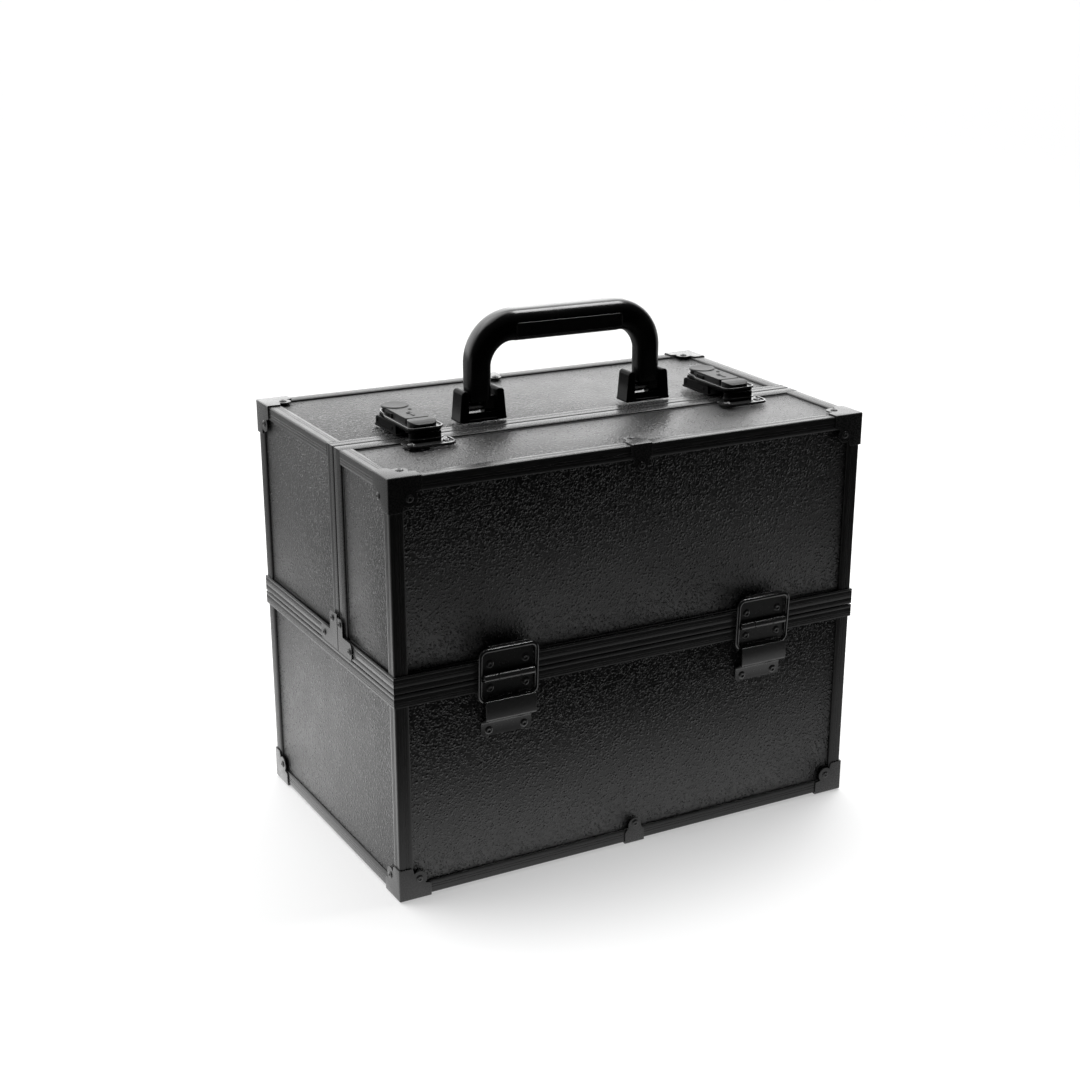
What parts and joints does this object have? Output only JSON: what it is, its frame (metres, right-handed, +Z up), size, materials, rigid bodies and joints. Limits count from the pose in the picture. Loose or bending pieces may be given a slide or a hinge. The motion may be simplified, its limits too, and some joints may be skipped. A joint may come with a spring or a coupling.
{
  "type": "makeup train case",
  "caption": "Hard carrying case with grained panels and metal edge profiles, a split top whose front and rear lids open outwards, swing-out trays, latches and a folding handle.",
  "frame": {"origin": "middle of the base, on the plane the corner caps rest on", "axes": "+X along the case's width to the right of its front, -Y towards the front, +Z up"},
  "size_m": [0.3638, 0.2394, 0.363],
  "materials": {
    "laminate": "grained, satin",
    "edge_profile": "satin, ridged",
    "corner_hardware": "satin",
    "hinge_hardware": "gloss",
    "swing_arm": "brushed",
    "tray": "fine grained",
    "handle_plastic": "gloss",
    "latch_metal": "satin"
  },
  "bodies": {
    "base": {"base_shell": "laminate", "base_frame": "edge_profile", "base_front_clamp": "corner_hardware", "base_cap_front_left": "corner_hardware", "base_cap_front_right": "corner_hardware", "base_cap_rear_left": "corner_hardware", "base_cap_rear_right": "corner_hardware", "front_hinge_left_base_leaf": "hinge_hardware", "front_hinge_right_base_leaf": "hinge_hardware", "rear_hinge_left_base_leaf": "hinge_hardware", "rear_hinge_right_base_leaf": "hinge_hardware", "front_stay_left_bridge": "hinge_hardware", "front_stay_right_bridge": "hinge_hardware", "rear_stay_left_bridge": "hinge_hardware", "rear_stay_right_bridge": "hinge_hardware"},
    "front_lid": {"front_lid_shell": "laminate", "front_lid_edge_frame": "edge_profile", "front_lid_rim": "edge_profile", "front_lid_clamp": "corner_hardware", "front_lid_cap_left": "corner_hardware", "front_lid_cap_right": "corner_hardware", "front_lid_plate_left": "corner_hardware", "front_lid_plate_right": "corner_hardware", "front_hinge_left_leaf": "hinge_hardware", "front_hinge_right_leaf": "hinge_hardware", "latch_strike_left": "latch_metal", "latch_strike_right": "latch_metal"},
    "rear_lid": {"rear_lid_shell": "laminate", "rear_lid_edge_frame": "edge_profile", "rear_lid_rim": "edge_profile", "rear_lid_clamp": "corner_hardware", "rear_lid_cap_left": "corner_hardware", "rear_lid_cap_right": "corner_hardware", "rear_lid_plate_left": "corner_hardware", "rear_lid_plate_right": "corner_hardware", "rear_hinge_left_leaf": "hinge_hardware", "rear_hinge_right_leaf": "hinge_hardware", "latch_case_left": "latch_metal", "latch_case_right": "latch_metal", "handle_bracket_left": "handle_plastic", "handle_bracket_right": "handle_plastic"},
    "handle": {"handle_grip": "handle_plastic"},
    "latch_left": {"latch_lever_left": "latch_metal"},
    "latch_right": {"latch_lever_right": "latch_metal"},
    "front_left_stay": {"front_stay_left": "hinge_hardware"},
    "front_right_stay": {"front_stay_right": "hinge_hardware"},
    "front_arms_a": {"front_arm_a_left": "swing_arm", "front_arm_a_right": "swing_arm"},
    "front_arms_b": {"front_arm_b_left": "swing_arm", "front_arm_b_right": "swing_arm"},
    "front_lower_tray_body": {"front_lower_tray": "tray"},
    "front_upper_tray_body": {"front_upper_tray": "tray"},
    "rear_left_stay": {"rear_stay_left": "hinge_hardware"},
    "rear_right_stay": {"rear_stay_right": "hinge_hardware"},
    "rear_arms_a": {"rear_arm_a_left": "swing_arm", "rear_arm_a_right": "swing_arm"},
    "rear_arms_b": {"rear_arm_b_left": "swing_arm", "rear_arm_b_right": "swing_arm"},
    "rear_lower_tray_body": {"rear_lower_tray": "tray"},
    "rear_upper_tray_body": {"rear_upper_tray": "tray"}
  },
  "joints": [
    {"name": "front_lid_hinge", "type": "hinge", "parent": "base", "child": "front_lid", "pos_m": [0, -0.116, 0.1485], "axis": [1, 0, 0], "range_deg": [0, 80]},
    {"name": "front_arms_a_swing", "type": "hinge", "parent": "base", "child": "front_arms_a", "pos_m": [0, -0.066, 0.13], "axis": [1, 0, 0], "range_deg": [-1, 51]},
    {"name": "front_arms_b_swing", "type": "hinge", "parent": "base", "child": "front_arms_b", "pos_m": [0, -0.086, 0.13], "axis": [1, 0, 0], "range_deg": [-1, 51]},
    {"name": "front_lower_tray_pivot", "type": "hinge", "parent": "front_arms_a", "child": "front_lower_tray_body", "pos_m": [0, -0.04975, 0.18], "axis": [1, 0, 0], "range_deg": [-51, 1]},
    {"name": "front_upper_tray_pivot", "type": "hinge", "parent": "front_arms_a", "child": "front_upper_tray_body", "pos_m": [0, -0.03286, 0.232], "axis": [1, 0, 0], "range_deg": [-51, 1]},
    {"name": "front_left_stay_swing", "type": "hinge", "parent": "front_lid", "child": "front_left_stay", "pos_m": [-0.1, -0.1162, 0.1675], "axis": [1, 0, 0], "range_deg": [-48.2, 1]},
    {"name": "front_right_stay_swing", "type": "hinge", "parent": "front_lid", "child": "front_right_stay", "pos_m": [0.1, -0.1162, 0.1675], "axis": [1, 0, 0], "range_deg": [-48.2, 1]},
    {"name": "rear_lid_hinge", "type": "hinge", "parent": "base", "child": "rear_lid", "pos_m": [0, 0.116, 0.1485], "axis": [-1, 0, 0], "range_deg": [0, 80]},
    {"name": "rear_arms_a_swing", "type": "hinge", "parent": "base", "child": "rear_arms_a", "pos_m": [0, 0.056, 0.13], "axis": [-1, 0, 0], "range_deg": [-1, 63]},
    {"name": "rear_arms_b_swing", "type": "hinge", "parent": "base", "child": "rear_arms_b", "pos_m": [0, 0.086, 0.13], "axis": [-1, 0, 0], "range_deg": [-1, 63]},
    {"name": "rear_lower_tray_pivot", "type": "hinge", "parent": "rear_arms_a", "child": "rear_lower_tray_body", "pos_m": [0, 0.02713, 0.18], "axis": [-1, 0, 0], "range_deg": [-63, 1]},
    {"name": "rear_upper_tray_pivot", "type": "hinge", "parent": "rear_arms_a", "child": "rear_upper_tray_body", "pos_m": [0, -0.00289, 0.232], "axis": [-1, 0, 0], "range_deg": [-63, 1]},
    {"name": "rear_left_stay_swing", "type": "hinge", "parent": "rear_lid", "child": "rear_left_stay", "pos_m": [-0.1, 0.1162, 0.1675], "axis": [-1, 0, 0], "range_deg": [-48.2, 1]},
    {"name": "rear_right_stay_swing", "type": "hinge", "parent": "rear_lid", "child": "rear_right_stay", "pos_m": [0.1, 0.1162, 0.1675], "axis": [-1, 0, 0], "range_deg": [-48.2, 1]},
    {"name": "handle_fold", "type": "hinge", "parent": "rear_lid", "child": "handle", "pos_m": [0, -0.006, 0.298], "axis": [-1, 0, 0], "range_deg": [0, 84]},
    {"name": "latch_left_lift", "type": "hinge", "parent": "rear_lid", "child": "latch_left", "pos_m": [-0.122, 0.01, 0.2935], "axis": [-1, 0, 0], "range_deg": [0, 55]},
    {"name": "latch_right_lift", "type": "hinge", "parent": "rear_lid", "child": "latch_right", "pos_m": [0.122, 0.01, 0.2935], "axis": [-1, 0, 0], "range_deg": [0, 55]}
  ],
  "couplings": [
    {"joint": "front_arms_a_swing", "follows": "front_lid_hinge", "ratio": 0.625},
    {"joint": "front_arms_b_swing", "follows": "front_lid_hinge", "ratio": 0.625},
    {"joint": "front_lower_tray_pivot", "follows": "front_lid_hinge", "ratio": -0.625},
    {"joint": "front_upper_tray_pivot", "follows": "front_lid_hinge", "ratio": -0.625},
    {"joint": "front_left_stay_swing", "follows": "front_lid_hinge", "ratio": -0.59},
    {"joint": "front_right_stay_swing", "follows": "front_lid_hinge", "ratio": -0.59},
    {"joint": "rear_arms_a_swing", "follows": "rear_lid_hinge", "ratio": 0.775},
    {"joint": "rear_arms_b_swing", "follows": "rear_lid_hinge", "ratio": 0.775},
    {"joint": "rear_lower_tray_pivot", "follows": "rear_lid_hinge", "ratio": -0.775},
    {"joint": "rear_upper_tray_pivot", "follows": "rear_lid_hinge", "ratio": -0.775},
    {"joint": "rear_left_stay_swing", "follows": "rear_lid_hinge", "ratio": -0.59},
    {"joint": "rear_right_stay_swing", "follows": "rear_lid_hinge", "ratio": -0.59}
  ]
}
